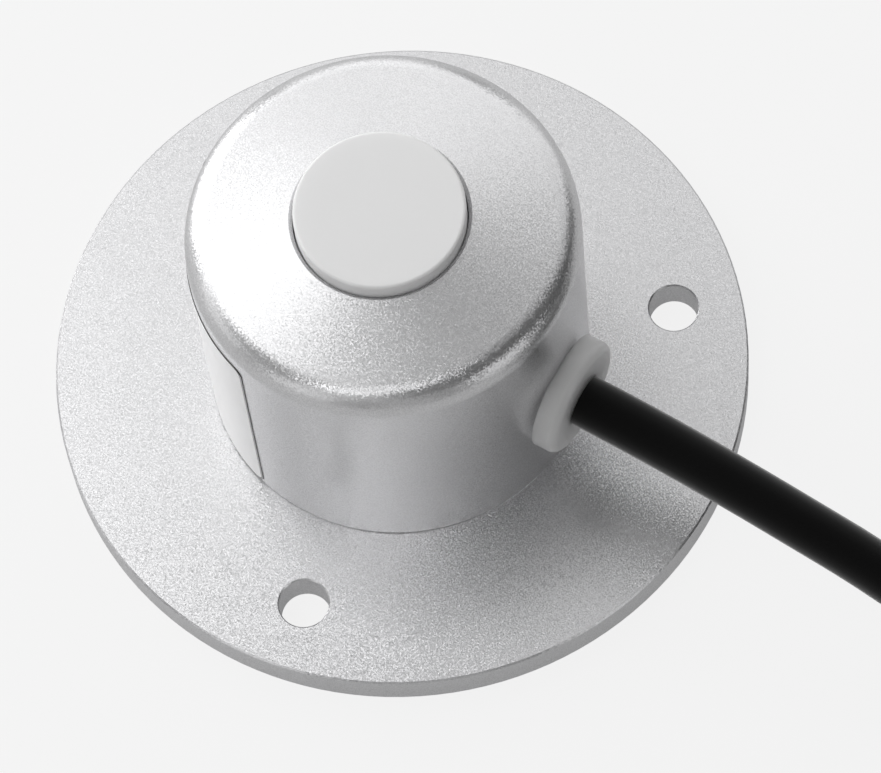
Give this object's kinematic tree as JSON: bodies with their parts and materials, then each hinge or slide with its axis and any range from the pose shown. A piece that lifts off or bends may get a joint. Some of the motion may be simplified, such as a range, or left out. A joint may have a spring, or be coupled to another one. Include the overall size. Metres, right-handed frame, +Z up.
{
  "type": "light sensor",
  "caption": "Flange-mounted light sensor with a turned metal housing, a round white diffuser and a side cable with a coiled spare length.",
  "frame": {"origin": "centre of the flange's underside, on the surface that the sensor stands on", "axes": "+Z up along the housing's axis, towards the diffuser; +X along the cable where it leaves the housing"},
  "size_m": [0.2002, 0.1132, 0.044],
  "materials": {
    "anodised_aluminium": "fine bead-blasted clear anodised",
    "diffuser_white": "matt white fluoropolymer",
    "bush_nylon": "milky translucent nylon",
    "cable_black": "smooth black cable jacket",
    "label_white": "blank satin sticker",
    "rubber_grey": "soft rubber seal",
    "steel": "stainless screw",
    "brass": "plain turned brass",
    "ring_black": "black anodised",
    "filter_glass": "tinted optical glass",
    "window_glass": "clear glass",
    "gold_plate": "thin gold plating",
    "silicon": "polished silicon chip",
    "circuit_board": "green solder mask",
    "chip_black": "moulded chip package",
    "component_body": "ceramic component",
    "trimmer_blue": "moulded blue plastic",
    "can_metal": "bright drawn can",
    "connector_ivory": "moulded nylon connector",
    "tie_nylon": "natural nylon tie",
    "wire_brown": "brown core insulation",
    "wire_black": "black core insulation",
    "wire_yellow": "yellow core insulation",
    "wire_blue": "blue core insulation"
  },
  "bodies": {
    "root": {"base_flange": "anodised_aluminium", "base_oring": "rubber_grey", "base_screws": "steel", "housing": "anodised_aluminium", "diffuser": "diffuser_white", "diffuser_gasket": "rubber_grey", "retaining_ring": "ring_black", "optical_filter": "filter_glass", "photodiode_base": "gold_plate", "photodiode_can": "can_metal", "photodiode_window": "window_glass", "photodiode_chip": "silicon", "sensor_board": "circuit_board", "sensor_amplifier": "chip_black", "gain_trimmer": "trimmer_blue", "sensor_passives": "component_body", "upper_standoffs": "brass", "lower_standoffs": "brass", "board_screws": "steel", "main_board": "circuit_board", "microcontroller": "chip_black", "bus_transceiver": "chip_black", "voltage_regulator": "chip_black", "power_inductor": "chip_black", "storage_capacitors": "can_metal", "surge_diodes": "chip_black", "reset_fuse": "component_body", "clock_crystal": "can_metal", "main_passives": "component_body", "stacking_socket": "chip_black", "stacking_pins": "gold_plate", "wire_header": "connector_ivory", "wire_plug": "connector_ivory", "wire_brown": "wire_brown", "wire_black": "wire_black", "wire_yellow": "wire_yellow", "wire_blue": "wire_blue", "cable_bush": "bush_nylon", "cable_seal": "rubber_grey", "gland_clamp": "bush_nylon", "gland_washer": "steel", "gland_locknut": "brass", "cable_entry": "cable_black", "rating_label": "label_white", "cable_run": "cable_black", "cable_coil": "cable_black", "coil_ties": "tie_nylon", "jacket_sleeve": "cable_black", "lead_brown": "wire_brown", "lead_black": "wire_black", "lead_yellow": "wire_yellow", "lead_blue": "wire_blue", "lead_ferrules": "steel"}
  },
  "joints": []
}
